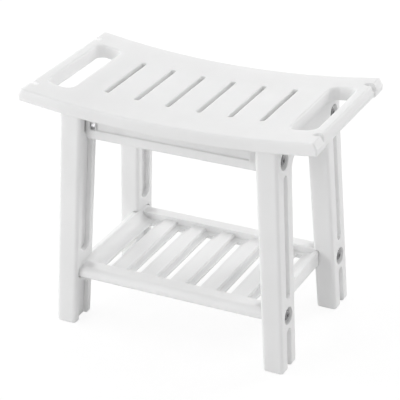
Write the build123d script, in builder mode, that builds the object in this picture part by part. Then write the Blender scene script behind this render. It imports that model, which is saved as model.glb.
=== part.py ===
from build123d import *
from math import cos, radians, sin
import os

os.makedirs("parts", exist_ok=True)

# Shower bench standing on the floor. X runs along the seat, Y from front to rear, Z up.
# All lengths are in millimetres, leans are millimetres inward per millimetre of height.

# Seat board
seat_length = 521.6
seat_width = 282.0
seat_waist = 4.0
seat_thickness = 22.5
seat_middle_height = 400.6
seat_end_rise = 20.3
seat_edge_round = 3.0
seat_end_round = 3.5
seat_skin = 7.0
seat_wall = 6.0

# Corner lobes and grip bar at each end of the seat, parted by sloping scoops
lobe_width = 34.0
lobe_slope_inset = 6.3
lobe_shoulder_depth = 12.0
grip_inset = 2.4
grip_slope_inset = 4.0
grip_shoulder_depth = 15.0
grip_bar_width = 21.4
scoop_inset = 20.8
scoop_radius = 6.0
scoop_slope = 30.0
hand_hole_width = 45.0
hand_hole_length = 180.0
hand_hole_radius = 15.0
hand_hole_round = 3.0

# Drain slots in the seat
seat_slot_count = 6
seat_slot_pitch = 55.27
seat_slot_width = 8.6
seat_slot_length = 136.4
seat_slot_radius = 3.5
seat_slot_round = 1.5

# Leaning legs and the arch that joins them at the top
foot_end_inset = 50.3
foot_side_reach = 1.6
leg_foot_width = 35.8
leg_foot_depth = 56.8
outer_lean = 0.0515
inner_lean = 0.0575
outward_lean = 0.0345
inward_lean = 0.045
leg_edge_round = 6.0
foot_round = 4.0
arch_drop = 46.1
arch_radius = 22.0
rail_hollow = 14.0
rail_wall = 6.0

# Grooves down the outer and inner faces of the legs
outer_groove_width = 15.0
outer_groove_depth = 9.0
outer_groove_low = 125.5
outer_groove_stop = 17.5
foot_groove_width = 17.0
foot_groove_height = 72.0
inner_groove_width = 28.5
inner_groove_depth = 8.5
inner_groove_low = 130.0
inner_foot_groove_width = 31.0

# Bolts through the legs
bolt_inset = 28.8
upper_bolt_drop = 39.2
lower_bolt_height = 94.3
bolt_diameter = 8.0
bolt_length = 49.0
bolt_head_diameter = 16.0
bolt_head_height = 5.0
bolt_socket_size = 5.0
bolt_socket_depth = 3.0
bolt_hole_play = 0.6
recess_diameter = 30.0
recess_depth = 8.0
washer_diameter = 22.0
washer_thickness = 1.6
nut_size = 13.0
nut_thickness = 6.8
nut_bore_play = 0.3
nut_end_reach = 2.0
nut_pocket_play = 1.1

# Aprons under the front and rear of the seat
apron_drop = 61.1
apron_thickness = 20.0
apron_end_play = 0.7
apron_corner_radius = 7.0
apron_lip_height = 15.5
apron_end_width = 19.0
apron_panel_depth = 2.5
apron_tenon_width = 12.0
apron_tenon_drop = 7.0
apron_pocket_depth = 11.0
apron_pocket_count = 4

# Shelf between the legs
shelf_bottom = 85.0
shelf_rim_top = 104.5
shelf_side_inset = 13.1
shelf_end_inset = 32.5
shelf_rim_round = 11.0
shelf_under_round = 7.0
shelf_rim_width = 29.5
shelf_slat_top = 98.5
shelf_ledge_top = 92.0
shelf_slot_count = 6
shelf_slot_margin = 10.0
shelf_slot_width = 11.0
shelf_slot_end_gap = 10.6
shelf_slot_radius = 3.0
shelf_rabbet_width = 32.0
shelf_hollow_width = 13.0
shelf_slot_lip = 3.0
shelf_slot_relief = 5.0
kerb_length = 28.0
kerb_ramp_radius = 20.0
kerb_top = 110.5
kerb_round = 17.5
shelf_socket_play = 1.5
shelf_end_play = 0.3

# Screws from the aprons up into the seat
screw_spread = 95.0
screw_diameter = 4.5
screw_length = 25.0
screw_head_diameter = 8.5
screw_head_height = 3.0
screw_cross_width = 1.2
screw_cross_length = 5.0
screw_web = 14.0
screw_play = 0.3

# Small gap kept between curved faces of neighbouring pieces
fit_gap = 0.3

foot_length = seat_length - 2 * foot_end_inset
foot_width = seat_width + 2 * foot_side_reach
arch_height = seat_middle_height - arch_drop
outer_groove_high = arch_height - outer_groove_stop
upper_bolt_height = seat_middle_height - upper_bolt_drop
apron_bottom = seat_middle_height - apron_drop
shelf_half_width = foot_width / 2 - shelf_side_inset
shelf_half_length = foot_length / 2 - shelf_end_inset
shelf_field_half_width = shelf_half_width - shelf_rim_width
kerb_start = shelf_half_length - kerb_length
shelf_slot_pitch = 2 * (kerb_start - shelf_slot_margin) / (shelf_slot_count - 1)
shelf_slot_length = 2 * (shelf_field_half_width - shelf_slot_end_gap)
seat_half = seat_length / 2
seat_end_height = seat_middle_height + seat_end_rise
seat_radius = (seat_half**2 + seat_end_rise**2) / (2 * seat_end_rise)
waist_radius = (seat_half**2 + seat_waist**2) / (2 * seat_waist)
hand_hole_x = seat_half - grip_inset - grip_bar_width - hand_hole_width / 2
bolt_hole_diameter = bolt_diameter + bolt_hole_play
nut_pocket_width = nut_thickness + 2 * nut_pocket_play
nut_corner = nut_size / 3**0.5


# Height of the top of the seat at a distance along it
def seat_top_at(x):
    return seat_middle_height + seat_radius - (seat_radius**2 - x**2) ** 0.5


# Distance of each leg face from the middle of the bench at a height
def outer_x(z):
    return foot_length / 2 - outer_lean * z


def inner_x(z):
    return foot_length / 2 - leg_foot_width - inner_lean * z


def outward_y(z):
    return foot_width / 2 - outward_lean * z


def inward_y(z):
    return foot_width / 2 - leg_foot_depth - inward_lean * z


def middle_y(z):
    return (outward_y(z) + inward_y(z)) / 2


# Where a bolt at a height sits across the bench, and where its washer rests
def bolt_y(z):
    return outward_y(z) - bolt_inset


def washer_x(z):
    return outer_x(z) - recess_depth


def bolt_end_x(z):
    return washer_x(z) + washer_thickness - bolt_length


def nut_x(z):
    return bolt_end_x(z) + nut_end_reach + nut_thickness / 2


upper_y = bolt_y(upper_bolt_height)
lower_y = bolt_y(lower_bolt_height)
apron_half_length = inner_x(apron_bottom) - apron_end_play
apron_panel_half_length = apron_half_length - apron_end_width
apron_middle_y = middle_y(upper_bolt_height)
apron_outward_y = apron_middle_y + apron_thickness / 2


# Side view of a board that follows the curve of the seat between two depths below its top
def seat_side_view(upper_depth, lower_depth, length):
    with Locations((0, seat_middle_height + seat_radius - lower_depth)):
        Circle(seat_radius)
    with Locations((0, seat_middle_height + seat_radius - upper_depth)):
        Circle(seat_radius, mode=Mode.SUBTRACT)
    with Locations((0, seat_middle_height)):
        Rectangle(length, seat_middle_height, mode=Mode.INTERSECT)


# Space taken by the seat above the frame, with the small gap under it
with BuildPart() as seat_space:
    with BuildSketch(Plane.XZ):
        seat_side_view(-seat_thickness, seat_thickness + fit_gap, 2 * seat_length)
    extrude(amount=seat_width / 2, both=True)

# Space under the skin of the seat where pockets are cut
with BuildPart() as seat_pockets:
    with BuildSketch(Plane.XZ):
        seat_side_view(seat_skin, 2 * seat_thickness, 2 * seat_length)
    extrude(amount=seat_width / 2, both=True)
    with BuildSketch(Plane.XY):
        with GridLocations(seat_slot_pitch, 0, seat_slot_count - 1, 1):
            RectangleRounded(seat_slot_pitch - seat_slot_width - 2 * seat_wall, seat_slot_length, seat_slot_radius)
        rim_pocket_width = seat_width / 2 - 2 * seat_wall - apron_outward_y
        with GridLocations(0, 2 * apron_outward_y + rim_pocket_width + seat_wall, 1, 2):
            RectangleRounded(2 * inner_x(upper_bolt_height) - seat_wall, rim_pocket_width, seat_slot_radius)
        lobe_pocket_width = seat_width / 2 - 2 * seat_wall - hand_hole_length / 2 - seat_waist
        lobe_pocket_y = hand_hole_length / 2 + seat_wall + lobe_pocket_width / 2
        with GridLocations(2 * hand_hole_x, 2 * lobe_pocket_y, 2, 2):
            RectangleRounded(hand_hole_width - seat_wall, lobe_pocket_width, seat_slot_radius)
    extrude(amount=2 * seat_middle_height, mode=Mode.INTERSECT)


# Board that follows the curve of the seat, its ends sloping out from the top to a shoulder
def curved_board(length, width, slope_inset, shoulder_depth):
    slope_start = length / 2 - slope_inset
    with BuildPart() as board:
        with BuildSketch(Plane.XZ):
            seat_side_view(0, seat_thickness, length)
            for end in (-1, 1):
                Polygon(
                    (end * slope_start, seat_top_at(slope_start)),
                    (end * length / 2, seat_top_at(length / 2) - shoulder_depth),
                    (end * length / 2, seat_end_height + seat_thickness),
                    (end * slope_start, seat_end_height + seat_thickness),
                    align=None,
                    mode=Mode.SUBTRACT,
                )
            fillet(vertices(), seat_end_round)
        extrude(amount=width / 2, both=True)
    return board.part


grip_length = seat_length - 2 * grip_inset
grip_width = seat_width - 2 * lobe_width
grip_board = curved_board(grip_length, grip_width, grip_slope_inset, grip_shoulder_depth)

# Lobes that stand proud of the grip bar along the slightly waisted front and rear of the seat
with BuildPart() as lobe_boards:
    add(curved_board(seat_length, seat_width + 2 * seat_waist, lobe_slope_inset, lobe_shoulder_depth))
    waist_middle = seat_width / 2 - seat_waist + waist_radius
    with BuildSketch(Plane.XY):
        with Locations((0, -waist_middle), (0, waist_middle)):
            Circle(waist_radius)
    extrude(amount=2 * seat_middle_height, mode=Mode.SUBTRACT)
    for long_face in (faces().sort_by(Axis.Y)[0], faces().sort_by(Axis.Y)[-1]):
        fillet(long_face.edges(), seat_edge_round)
    with BuildSketch(Plane.XY):
        Rectangle(2 * seat_length, grip_width)
    extrude(amount=2 * seat_middle_height, mode=Mode.SUBTRACT)

# Seat with hand holes, drain slots and pockets from below
with BuildPart() as seat_panel:
    add(grip_board)
    with BuildSketch(Plane.XY):
        with GridLocations(seat_slot_pitch, 0, seat_slot_count, 1):
            RectangleRounded(seat_slot_width, seat_slot_length, seat_slot_radius)
    extrude(amount=2 * seat_middle_height, mode=Mode.SUBTRACT)
    slot_edges = edges(Select.LAST).filter_by(
        lambda edge: edge.center().Z > seat_top_at(edge.center().X) - seat_slot_round
    )
    fillet(slot_edges, seat_slot_round)
    with BuildSketch(Plane.XY):
        with GridLocations(2 * hand_hole_x, 0, 2, 1):
            RectangleRounded(hand_hole_width, hand_hole_length, hand_hole_radius)
    extrude(amount=2 * seat_middle_height, mode=Mode.SUBTRACT)
    hole_edges = edges(Select.LAST).filter_by(
        lambda edge: edge.center().Z > seat_top_at(edge.center().X) - hand_hole_round
    )
    fillet(hole_edges, hand_hole_round)
    add(lobe_boards.part)
    scoop_start = seat_half - scoop_inset
    scoop_x = scoop_start + scoop_radius * sin(radians(scoop_slope))
    scoop_z = seat_top_at(scoop_start) + scoop_radius * cos(radians(scoop_slope))
    for end in (-1, 1):
        for side in (-1, 1):
            scoop_spot = (end * scoop_x, side * grip_width / 2, scoop_z)
            with Locations(Location(scoop_spot, (0, end * (90 + scoop_slope), 0))):
                Cylinder(scoop_radius, 4 * scoop_inset, mode=Mode.SUBTRACT)
    add(seat_pockets.part, mode=Mode.SUBTRACT)
    with BuildSketch(Plane.XY):
        with GridLocations(2 * screw_spread, 2 * apron_middle_y, 2, 2):
            Circle(screw_diameter / 2 + screw_play)
    extrude(amount=seat_top_at(screw_spread) - seat_skin, mode=Mode.SUBTRACT)

seat_panel.part.label = "seat_panel"
export_step(seat_panel.part, "parts/seat_panel.step")


# Outline of the end of the shelf seen along the bench, grown by a margin
def shelf_end_view(margin):
    with Locations((0, shelf_bottom - margin)):
        Rectangle(
            2 * (shelf_half_width + margin),
            kerb_top - shelf_bottom + 2 * margin,
            align=(Align.CENTER, Align.MIN),
        )
    fillet(vertices().sort_by(Axis.Y)[-2:], kerb_round + margin)
    fillet(vertices().sort_by(Axis.Y)[:2], shelf_under_round + margin)


# Outer and inner faces of the legs as planes to draw the grooves on, Y along and Z up
outer_plane = Plane(origin=(outer_x(0), 0, 0), x_dir=(0, 1, 0), z_dir=(1, 0, outer_lean))
inner_plane = Plane(origin=(inner_x(0), 0, 0), x_dir=(0, -1, 0), z_dir=(-1, 0, -inner_lean))
frame_top = seat_end_height
shelf_socket_x = shelf_half_length + shelf_end_play

# Right end frame, two legs and a top rail moulded as one arch
with BuildPart() as right_end_frame:
    with BuildSketch(Plane.YZ):
        with BuildLine():
            Polyline(
                (-outward_y(0), 0),
                (-outward_y(frame_top), frame_top),
                (outward_y(frame_top), frame_top),
                (outward_y(0), 0),
                (inward_y(0), 0),
                (inward_y(arch_height), arch_height),
                (-inward_y(arch_height), arch_height),
                (-inward_y(0), 0),
                close=True,
            )
        make_face()
    extrude(amount=seat_half)
    with BuildSketch(Plane.XZ):
        with BuildLine():
            Polyline(
                (inner_x(0), 0),
                (outer_x(0), 0),
                (outer_x(frame_top), frame_top),
                (inner_x(frame_top), frame_top),
                close=True,
            )
        make_face()
    extrude(amount=seat_width, both=True, mode=Mode.INTERSECT)
    fillet(
        edges().filter_by(Axis.X).filter_by_position(Axis.Z, arch_height - 1, arch_height + 1), arch_radius
    )
    long_faces = faces().filter_by(lambda face: abs(face.normal_at().X) > 0.9)
    long_edges = long_faces.edges().filter_by(lambda edge: foot_round < edge.center().Z < frame_top - foot_round)
    fillet(long_edges, leg_edge_round)
    fillet(faces().filter_by_position(Axis.Z, -foot_round, foot_round / 2).edges(), foot_round)
    add(seat_space.part, mode=Mode.SUBTRACT)
    for side in (-1, 1):
        with BuildSketch(outer_plane):
            for height in (
                outer_groove_low + outer_groove_width / 2,
                outer_groove_high - outer_groove_width / 2,
            ):
                with Locations((side * middle_y(height), height)):
                    Circle(outer_groove_width / 2)
            make_hull()
        extrude(amount=-outer_groove_depth, mode=Mode.SUBTRACT)
        with BuildSketch(outer_plane):
            for height in (foot_groove_height - foot_groove_width / 2, -foot_groove_width):
                with Locations((side * middle_y(height), height)):
                    Circle(foot_groove_width / 2)
            make_hull()
        extrude(amount=-outer_groove_depth, mode=Mode.SUBTRACT)
        with BuildSketch(inner_plane):
            for height in (inner_groove_low + inner_groove_width / 2, frame_top + inner_groove_width):
                with Locations((side * middle_y(height), height)):
                    Circle(inner_groove_width / 2)
            make_hull()
        extrude(amount=-inner_groove_depth, mode=Mode.SUBTRACT)
        with BuildSketch(inner_plane):
            for height in (foot_groove_height - inner_foot_groove_width / 2, -inner_foot_groove_width):
                with Locations((side * middle_y(height), height)):
                    Circle(inner_foot_groove_width / 2)
            make_hull()
        extrude(amount=-inner_groove_depth, mode=Mode.SUBTRACT)
        for height in (lower_bolt_height, upper_bolt_height):
            with BuildSketch(Plane.YZ.offset(washer_x(height))):
                with Locations((side * bolt_y(height), height)):
                    Circle(recess_diameter / 2)
            extrude(amount=seat_half, mode=Mode.SUBTRACT)
            with BuildSketch(Plane.YZ):
                with Locations((side * bolt_y(height), height)):
                    Circle(bolt_hole_diameter / 2)
            extrude(amount=seat_half, mode=Mode.SUBTRACT)
    with BuildSketch(Plane.YZ):
        shelf_end_view(shelf_socket_play)
    extrude(amount=shelf_socket_x, mode=Mode.SUBTRACT)
    rail_pocket_half = inward_y(arch_height) - arch_radius / 2
    with BuildSketch(Plane.YZ):
        with Locations((0, arch_height + rail_wall)):
            Rectangle(2 * rail_pocket_half, frame_top - arch_height, align=(Align.CENTER, Align.MIN))
    extrude(amount=inner_x(arch_height) + rail_hollow, mode=Mode.SUBTRACT)

right_end_frame.part.label = "right_end_frame"
export_step(right_end_frame.part, "parts/right_end_frame.step")

with BuildPart() as left_end_frame:
    add(mirror(right_end_frame.part, about=Plane.YZ))

left_end_frame.part.label = "left_end_frame"
export_step(left_end_frame.part, "parts/left_end_frame.step")

# Front apron with a proud lip, end tenons for the legs and screw columns, its left nut pocket
# open to the front and its right one to the rear
screw_seat = seat_top_at(screw_spread) - seat_thickness - fit_gap - screw_web
apron_pocket_pitch = 2 * screw_spread / apron_pocket_count
tenon_top = seat_top_at(apron_half_length) - seat_thickness - apron_tenon_drop
tenon_bottom = apron_bottom + apron_tenon_drop
with BuildPart() as front_apron:
    with BuildSketch(Plane.XZ.offset(apron_outward_y)):
        with Locations((0, apron_bottom)):
            Rectangle(2 * apron_half_length, frame_top - apron_bottom, align=(Align.CENTER, Align.MIN))
        fillet(vertices().sort_by(Axis.Z)[:2], apron_corner_radius)
    extrude(amount=-apron_thickness)
    with BuildSketch(Plane.XZ.offset(apron_outward_y)):
        with Locations((0, apron_bottom + apron_lip_height)):
            Rectangle(2 * apron_panel_half_length, frame_top - apron_bottom, align=(Align.CENTER, Align.MIN))
    extrude(amount=-apron_panel_depth, mode=Mode.SUBTRACT)
    for end in (-1, 1):
        with BuildSketch(Plane.XZ.offset(upper_y)):
            with BuildLine():
                Polyline(
                    (end * apron_panel_half_length, tenon_bottom),
                    (end * (inner_x(tenon_bottom) + inner_groove_depth), tenon_bottom),
                    (end * (inner_x(tenon_top) + inner_groove_depth), tenon_top),
                    (end * apron_panel_half_length, tenon_top),
                    close=True,
                )
            make_face()
        extrude(amount=apron_tenon_width / 2, both=True)
    with BuildSketch(Plane.XZ.offset(apron_outward_y)):
        with Locations((-nut_x(upper_bolt_height), upper_bolt_height)):
            Rectangle(nut_pocket_width, nut_size + fit_gap)
    extrude(amount=upper_y - apron_outward_y - nut_corner - fit_gap, mode=Mode.SUBTRACT)
    with BuildSketch(Plane.XZ.offset(apron_outward_y - apron_thickness)):
        with Locations((nut_x(upper_bolt_height), upper_bolt_height)):
            Rectangle(nut_pocket_width, 2 * (nut_corner + fit_gap))
    extrude(amount=upper_y + nut_size / 2 + fit_gap - apron_outward_y + apron_thickness, mode=Mode.SUBTRACT)
    with BuildSketch(Plane.XZ.offset(apron_outward_y - apron_thickness)):
        with Locations((0, (apron_bottom + screw_seat + screw_web) / 2)):
            with GridLocations(apron_pocket_pitch, 0, apron_pocket_count, 1):
                Rectangle(
                    apron_pocket_pitch - screw_head_diameter - seat_wall,
                    screw_seat + screw_web - apron_bottom - 2 * seat_wall,
                )
    extrude(amount=apron_pocket_depth, mode=Mode.SUBTRACT)
    for end in (-1, 1):
        with BuildSketch(Plane.YZ.offset(end * (bolt_end_x(upper_bolt_height) - nut_end_reach))):
            with Locations((-upper_y, upper_bolt_height)):
                Circle(bolt_hole_diameter / 2)
        extrude(amount=end * seat_half, mode=Mode.SUBTRACT)
    with BuildSketch(Plane.XY):
        with GridLocations(2 * screw_spread, 2 * apron_middle_y, 2, 2):
            Circle(screw_head_diameter / 2 + screw_play)
    extrude(amount=screw_seat, mode=Mode.SUBTRACT)
    with BuildSketch(Plane.XY):
        with GridLocations(2 * screw_spread, 2 * apron_middle_y, 2, 2):
            Circle(screw_diameter / 2 + screw_play)
    extrude(amount=frame_top, mode=Mode.SUBTRACT)
    add(seat_space.part, mode=Mode.SUBTRACT)

front_apron.part.label = "front_apron"
export_step(front_apron.part, "parts/front_apron.step")

with BuildPart() as rear_apron:
    add(mirror(front_apron.part, about=Plane.XZ))

rear_apron.part.label = "rear_apron"
export_step(rear_apron.part, "parts/rear_apron.step")

# End kerb of the shelf, a block that curves up from the ledge
with BuildPart() as shelf_kerb:
    with BuildSketch(Plane.YZ.offset(kerb_start - kerb_ramp_radius)):
        shelf_end_view(0)
    extrude(amount=shelf_half_length - kerb_start + kerb_ramp_radius)
    with BuildSketch(Plane.XZ):
        with Locations((kerb_start, shelf_ledge_top + kerb_ramp_radius)):
            Circle(kerb_ramp_radius)
        with Locations((kerb_start, shelf_ledge_top)):
            Rectangle(4 * kerb_ramp_radius, 4 * kerb_ramp_radius, align=(Align.MAX, Align.MIN))
    extrude(amount=seat_width, both=True, mode=Mode.SUBTRACT)

# Shelf tray with a raised rim, slats, stepped drain slots relieved from below and nut pockets
with BuildPart() as shelf:
    with BuildSketch(Plane.YZ):
        with Locations((0, shelf_bottom)):
            Rectangle(2 * shelf_half_width, shelf_rim_top - shelf_bottom, align=(Align.CENTER, Align.MIN))
        fillet(vertices().sort_by(Axis.Y)[-2:], shelf_rim_round)
        fillet(vertices().sort_by(Axis.Y)[:2], shelf_under_round)
    extrude(amount=shelf_half_length, both=True)
    with BuildSketch(Plane.XY.offset(shelf_slat_top)):
        Rectangle(2 * kerb_start, 2 * shelf_field_half_width)
    extrude(amount=seat_half, mode=Mode.SUBTRACT)
    with BuildSketch(Plane.XY.offset(shelf_ledge_top)):
        for end in (-1, 1):
            with Locations((end * kerb_start, 0)):
                Rectangle(
                    shelf_half_length - kerb_start,
                    2 * shelf_field_half_width,
                    align=(Align.MIN if end > 0 else Align.MAX, Align.CENTER),
                )
    extrude(amount=seat_half, mode=Mode.SUBTRACT)
    add(shelf_kerb.part)
    add(mirror(shelf_kerb.part, about=Plane.YZ))
    with BuildSketch(Plane.XY.offset(shelf_ledge_top)):
        with GridLocations(shelf_slot_pitch, 0, shelf_slot_count, 1):
            Rectangle(shelf_rabbet_width, 2 * shelf_field_half_width)
        Rectangle(2 * kerb_start, 2 * shelf_field_half_width, mode=Mode.INTERSECT)
    extrude(amount=shelf_rim_top - shelf_ledge_top, mode=Mode.SUBTRACT)
    with BuildSketch(Plane.XY):
        with GridLocations(shelf_slot_pitch, 0, shelf_slot_count, 1):
            RectangleRounded(shelf_slot_width, shelf_slot_length, shelf_slot_radius)
    extrude(amount=shelf_rim_top, mode=Mode.SUBTRACT)
    with BuildSketch(Plane.XY):
        with GridLocations(shelf_slot_pitch, 0, shelf_slot_count - 1, 1):
            RectangleRounded(shelf_hollow_width, shelf_slot_length, shelf_slot_radius)
    extrude(amount=shelf_ledge_top, mode=Mode.SUBTRACT)
    with BuildSketch(Plane.XY):
        with GridLocations(shelf_slot_pitch, 0, shelf_slot_count, 1):
            RectangleRounded(shelf_slot_width + 2 * shelf_slot_relief, shelf_slot_length, shelf_slot_radius)
    extrude(amount=shelf_ledge_top - shelf_slot_lip, mode=Mode.SUBTRACT)
    with BuildSketch(Plane.XY):
        with GridLocations(2 * nut_x(lower_bolt_height), 2 * lower_y, 2, 2):
            Rectangle(nut_pocket_width, nut_size + fit_gap)
    extrude(amount=lower_bolt_height + nut_corner + fit_gap, mode=Mode.SUBTRACT)
    for end in (-1, 1):
        with BuildSketch(Plane.YZ.offset(end * (bolt_end_x(lower_bolt_height) - nut_end_reach))):
            with Locations((-lower_y, lower_bolt_height), (lower_y, lower_bolt_height)):
                Circle(bolt_hole_diameter / 2)
        extrude(amount=end * seat_half, mode=Mode.SUBTRACT)

shelf.part.label = "shelf"
export_step(shelf.part, "parts/shelf.step")

# Button head bolt lying along X, head underside at the origin and the shank toward -X
with BuildPart() as bolt:
    with BuildSketch(Plane.YZ):
        Circle(bolt_head_diameter / 2)
    extrude(amount=bolt_head_height)
    fillet(faces().sort_by(Axis.X)[-1].edges(), bolt_head_height * 0.6)
    with BuildSketch(Plane.YZ.offset(bolt_head_height)):
        RegularPolygon(bolt_socket_size / 2, 6, major_radius=False)
    extrude(amount=-bolt_socket_depth, mode=Mode.SUBTRACT)
    with BuildSketch(Plane.YZ):
        Circle(bolt_diameter / 2)
    extrude(amount=-bolt_length)
    chamfer(faces().sort_by(Axis.X)[0].edges(), bolt_diameter / 10)

# Flat washer lying along X with its inner face at the origin
with BuildPart() as washer:
    with BuildSketch(Plane.YZ):
        Circle(washer_diameter / 2)
        Circle(bolt_hole_diameter / 2, mode=Mode.SUBTRACT)
    extrude(amount=washer_thickness)

# Hexagon nut centred on the origin with its bore along X
with BuildPart() as nut:
    with BuildSketch(Plane.YZ):
        RegularPolygon(nut_size / 2, 6, major_radius=False, rotation=30)
        Circle(bolt_diameter / 2 + nut_bore_play, mode=Mode.SUBTRACT)
    extrude(amount=nut_thickness / 2, both=True)

# Screw standing upright with its head underside at the origin and the shank upward
with BuildPart() as screw:
    with BuildSketch(Plane.XY):
        Circle(screw_head_diameter / 2)
    extrude(amount=-screw_head_height)
    fillet(faces().sort_by(Axis.Z)[0].edges(), screw_head_height / 3)
    with BuildSketch(Plane.XY.offset(-screw_head_height)):
        Rectangle(screw_cross_length, screw_cross_width)
        Rectangle(screw_cross_width, screw_cross_length)
    extrude(amount=screw_head_height / 2, mode=Mode.SUBTRACT)
    with BuildSketch(Plane.XY):
        Circle(screw_diameter / 2)
    extrude(amount=screw_length)
    chamfer(faces().sort_by(Axis.Z)[-1].edges(), screw_diameter / 3)


# Place a copy of a piece rolled about its length and turned, name it and write it out
def place(piece, name, spot, turn, roll=0):
    placed = piece.moved(Location(spot, (roll, 0, turn)))
    placed.label = name
    export_step(placed, f"parts/{name}.step")


for level, height in (("upper", upper_bolt_height), ("lower", lower_bolt_height)):
    for edge_name, edge_side in (("front", -1), ("rear", 1)):
        for end_name, end_side in (("left", -1), ("right", 1)):
            spot_name = f"{level}_{edge_name}_{end_name}"
            turn = 0 if end_side > 0 else 180
            y = edge_side * bolt_y(height)
            washer_spot = (end_side * washer_x(height), y, height)
            bolt_spot = (end_side * (washer_x(height) + washer_thickness), y, height)
            nut_spot = (end_side * nut_x(height), y, height)
            place(bolt.part, f"bolt_{spot_name}", bolt_spot, turn)
            place(washer.part, f"washer_{spot_name}", washer_spot, turn)
            nut_roll = 30 if level == "upper" and end_side < 0 else 0
            place(nut.part, f"nut_{spot_name}", nut_spot, turn, nut_roll)

for edge_name, edge_side in (("front", -1), ("rear", 1)):
    for end_name, end_side in (("left", -1), ("right", 1)):
        screw_spot = (end_side * screw_spread, edge_side * apron_middle_y, screw_seat)
        place(screw.part, f"seat_screw_{edge_name}_{end_name}", screw_spot, 0)
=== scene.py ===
import math

import bpy
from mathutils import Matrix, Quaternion, Vector

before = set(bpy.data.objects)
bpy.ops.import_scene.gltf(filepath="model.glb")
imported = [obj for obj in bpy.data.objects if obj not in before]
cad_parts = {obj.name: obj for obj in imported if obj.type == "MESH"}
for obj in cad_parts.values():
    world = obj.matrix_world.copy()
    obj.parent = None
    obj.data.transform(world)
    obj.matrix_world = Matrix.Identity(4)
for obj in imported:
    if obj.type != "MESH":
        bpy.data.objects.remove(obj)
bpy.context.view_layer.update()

# Camera, found from the photograph: degrees, metres and millimetres of lens
camera_azimuth = 26.413
camera_elevation = 26.714
camera_roll = -0.835
camera_distance = 2.7907
camera_lens = 150.25
camera_sensor = 36.0
camera_target = Vector((-0.00346, -0.00220, 0.20850))

# Colours, linear
white_plastic = (0.86, 0.86, 0.86)
# The shelf's white is the seat's white plastic made a little lighter: painted light that lifts its
# shaded slots and recesses
shelf_white_painted_lighter = (0.885, 0.885, 0.885)
bolt_steel = (0.16, 0.16, 0.163)
washer_steel = (0.35, 0.35, 0.355)
nut_steel = (0.55, 0.55, 0.56)
floor_white = (0.93, 0.93, 0.93)
plain_white = (1.0, 1.0, 1.0)

# Plastic: how far light spreads inside it and how round its edges look, metres
board_glow_depth = 0.014
frame_glow_depth = 0.008
board_edge = 0.0014
frame_edge = 0.0012
apron_edge = 0.003
plastic_glow_weight = 0.6
plastic_refraction = 1.47
plastic_sheen = 0.4
plastic_roughness = (0.46, 0.56)
cloud_shade = 0.965
grain_strength = 0.12
grain_depth = 0.0002

# Steel: how much lighter its marks are, its roughness and its edges in metres
mark_shade = 1.4
steel_roughness = (0.25, 0.45)
steel_edge = 0.0004

# Noise as repeats per metre and detail
plastic_cloud_noise = (9.0, 3.0)
plastic_gloss_noise = (60.0, 4.0)
plastic_grain_noise = (1400.0, 2.0)
steel_mark_noise = (500.0, 4.0)
steel_gloss_noise = (900.0, 3.0)
noise_range = (0.3, 0.7)

# Strength of the world, and of each lamp its place, its size in metres and its power in watts
world_strength = 0.545
lights = {
    "left_light": ((-3.0, -0.6, 1.3), 2.2, 30.0),
    "front_light": ((-1.4, -2.0, 1.0), 1.2, 13.5),
    "top_light": ((-1.2, -0.3, 2.2), 1.6, 2.2),
    "right_light": ((3.0, -0.6, 1.3), 2.2, 5.5),
    "back_left_light": ((-1.6, 2.5, 1.5), 1.8, 15.0),
    "back_right_light": ((1.6, 2.5, 1.5), 1.8, 34.0),
}
light_target = Vector((0, 0, 0.25))

# Floor: its width in metres, and how much of what is seen of it is a plain glow
floor_size = 40.0
floor_glow_share = 0.8
floor_glow_strength = 1.06


def node(tree, kind, **values):
    made = tree.nodes.new(kind)
    for name, value in values.items():
        setattr(made, name, value)
    return made


def set_input(made, name, value):
    made.inputs[name].default_value = value


def new_material(name):
    material = bpy.data.materials.new(name)
    material.use_nodes = True
    material.node_tree.nodes.clear()
    return material, material.node_tree


# Noise in the space of the object
def noise(tree, kind):
    scale, detail = kind
    place = node(tree, "ShaderNodeTexCoord")
    made = node(tree, "ShaderNodeTexNoise")
    set_input(made, "Scale", scale)
    set_input(made, "Detail", detail)
    set_input(made, "Roughness", 0.5)
    tree.links.new(place.outputs["Object"], made.inputs["Vector"])
    return made.outputs["Fac"]


# Noise spread over a range from low to high
def spread_noise(tree, kind, low, high):
    made = node(tree, "ShaderNodeMapRange")
    set_input(made, "From Min", noise_range[0])
    set_input(made, "From Max", noise_range[1])
    set_input(made, "To Min", low)
    set_input(made, "To Max", high)
    tree.links.new(noise(tree, kind), made.inputs["Value"])
    return made.outputs["Result"]


# A colour and a shade of it mixed by noise; the colour sockets are the seventh and eighth
def shaded_colour(tree, kind, colour, shade):
    made = node(tree, "ShaderNodeMix", data_type="RGBA")
    set_input(made, 6, (*colour, 1))
    set_input(made, 7, (*(part * shade for part in colour), 1))
    tree.links.new(spread_noise(tree, kind, 0.0, 1.0), made.inputs[0])
    return made.outputs[2]


def new_shader(name):
    material, tree = new_material(name)
    shader = node(tree, "ShaderNodeBsdfPrincipled")
    output = node(tree, "ShaderNodeOutputMaterial")
    tree.links.new(shader.outputs[0], output.inputs[0])
    return material, tree, shader


def soft_edges(tree, radius, samples):
    bevel = node(tree, "ShaderNodeBevel", samples=samples)
    set_input(bevel, "Radius", radius)
    return bevel.outputs[0]


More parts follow.
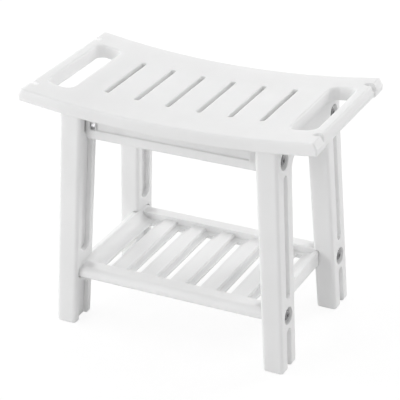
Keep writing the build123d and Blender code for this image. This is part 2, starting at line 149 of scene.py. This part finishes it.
# Satin moulded plastic: light spreads inside it, with a fine grain and very faint clouds
def moulded_plastic(name, colour, edge_radius, glow_depth):
    material, tree, shader = new_shader(name)
    set_input(shader, "IOR", plastic_refraction)
    set_input(shader, "Specular IOR Level", plastic_sheen)
    set_input(shader, "Subsurface Weight", plastic_glow_weight)
    set_input(shader, "Subsurface Radius", (1.0, 1.0, 1.0))
    set_input(shader, "Subsurface Scale", glow_depth)
    shade = shaded_colour(tree, plastic_cloud_noise, colour, cloud_shade)
    tree.links.new(shade, shader.inputs["Base Color"])
    gloss = spread_noise(tree, plastic_gloss_noise, *plastic_roughness)
    tree.links.new(gloss, shader.inputs["Roughness"])
    bump = node(tree, "ShaderNodeBump")
    set_input(bump, "Strength", grain_strength)
    set_input(bump, "Distance", grain_depth)
    tree.links.new(noise(tree, plastic_grain_noise), bump.inputs["Height"])
    tree.links.new(soft_edges(tree, edge_radius, 6), bump.inputs["Normal"])
    tree.links.new(bump.outputs[0], shader.inputs["Normal"])
    return material


# Steel with small lighter marks and uneven gloss
def marked_steel(name, colour):
    material, tree, shader = new_shader(name)
    set_input(shader, "Metallic", 1.0)
    shade = shaded_colour(tree, steel_mark_noise, colour, mark_shade)
    tree.links.new(shade, shader.inputs["Base Color"])
    gloss = spread_noise(tree, steel_gloss_noise, *steel_roughness)
    tree.links.new(gloss, shader.inputs["Roughness"])
    tree.links.new(soft_edges(tree, steel_edge, 4), shader.inputs["Normal"])
    return material


seat_plastic = moulded_plastic("satin_seat_plastic", white_plastic, board_edge, board_glow_depth)
# Shelf plastic takes the lighter white, which is partly painted light
shelf_plastic = moulded_plastic("satin_shelf_plastic", shelf_white_painted_lighter, board_edge, board_glow_depth)
frame_plastic = moulded_plastic("satin_frame_plastic", white_plastic, frame_edge, frame_glow_depth)
apron_plastic = moulded_plastic("satin_apron_plastic", white_plastic, apron_edge, frame_glow_depth)
bolt_metal = marked_steel("dark_bolt_steel", bolt_steel)
washer_metal = marked_steel("washer_steel", washer_steel)
nut_metal = marked_steel("nut_steel", nut_steel)

# Material of each node by the first part of its name
materials = {
    "seat_panel": seat_plastic,
    "shelf": shelf_plastic,
    "front_apron": apron_plastic,
    "rear_apron": apron_plastic,
    "left_end_frame": frame_plastic,
    "right_end_frame": frame_plastic,
    "bolt_": bolt_metal,
    "washer_": washer_metal,
    "nut_": nut_metal,
    "seat_screw_": nut_metal,
}


def material_of(name):
    return next(made for start, made in materials.items() if name.startswith(start))


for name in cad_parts:
    piece = bpy.data.objects[name]
    piece.data.materials.clear()
    piece.data.materials.append(material_of(name))


# 1 for rays from the camera, reflections and clear materials, 0 for the rays of soft light
def seen_directly(tree):
    path = node(tree, "ShaderNodeLightPath")
    value = path.outputs["Is Camera Ray"]
    for ray in ("Is Glossy Ray", "Is Transmission Ray"):
        either = node(tree, "ShaderNodeMath", operation="MAXIMUM")
        tree.links.new(value, either.inputs[0])
        tree.links.new(path.outputs[ray], either.inputs[1])
        value = either.outputs[0]
    return value


# Mix two shaders by a value and send the mix to the output
def mix_shaders(tree, value, first, second, output):
    mix = node(tree, "ShaderNodeMixShader")
    tree.links.new(value, mix.inputs[0])
    tree.links.new(first.outputs[0], mix.inputs[1])
    tree.links.new(second.outputs[0], mix.inputs[2])
    tree.links.new(mix.outputs[0], output.inputs[0])


# White floor: mostly a plain glow where it is seen, so that its shadows are faint
def add_floor():
    bpy.ops.mesh.primitive_plane_add(size=floor_size, location=(0, 0, 0))
    floor = bpy.context.object
    floor.name = "floor"
    material, tree = new_material("pale_floor")
    output = node(tree, "ShaderNodeOutputMaterial")
    diffuse = node(tree, "ShaderNodeBsdfDiffuse")
    set_input(diffuse, "Color", (*floor_white, 1))
    glow = node(tree, "ShaderNodeEmission")
    set_input(glow, "Strength", floor_glow_strength)
    share = node(tree, "ShaderNodeMath", operation="MULTIPLY")
    set_input(share, 1, floor_glow_share)
    tree.links.new(seen_directly(tree), share.inputs[0])
    mix_shaders(tree, share.outputs[0], diffuse, glow, output)
    floor.data.materials.append(material)


def background(tree, strength):
    made = node(tree, "ShaderNodeBackground")
    set_input(made, "Color", (*plain_white, 1))
    set_input(made, "Strength", strength)
    return made


# White world: full strength where it is seen, weaker as a light
def add_world():
    world = bpy.data.worlds.new("studio")
    bpy.context.scene.world = world
    world.use_nodes = True
    tree = world.node_tree
    tree.nodes.clear()
    output = node(tree, "ShaderNodeOutputWorld")
    light = background(tree, world_strength)
    seen_light = background(tree, 1.0)
    mix_shaders(tree, seen_directly(tree), light, seen_light, output)


def add_light(name, place, size, power):
    data = bpy.data.lights.new(name, "AREA")
    data.shape = "DISK"
    data.size = size
    data.energy = power
    lamp = bpy.data.objects.new(name, data)
    bpy.context.collection.objects.link(lamp)
    lamp.location = place
    aim = light_target - Vector(place)
    lamp.rotation_euler = aim.to_track_quat("-Z", "Y").to_euler()


def add_camera():
    azimuth = math.radians(camera_azimuth)
    elevation = math.radians(camera_elevation)
    back = Vector(
        (
            math.sin(azimuth) * math.cos(elevation),
            -math.cos(azimuth) * math.cos(elevation),
            math.sin(elevation),
        )
    )
    data = bpy.data.cameras.new("camera")
    data.lens = camera_lens
    data.sensor_width = camera_sensor
    camera = bpy.data.objects.new("camera", data)
    bpy.context.collection.objects.link(camera)
    camera.location = camera_target + back * camera_distance
    camera.rotation_mode = "QUATERNION"
    roll = Quaternion((0, 0, 1), math.radians(camera_roll))
    camera.rotation_quaternion = back.to_track_quat("Z", "Y") @ roll
    bpy.context.scene.camera = camera


add_floor()
add_world()
for light_name, (place, size, power) in lights.items():
    add_light(light_name, place, size, power)
add_camera()

scene = bpy.context.scene
scene.view_settings.view_transform = "Standard"
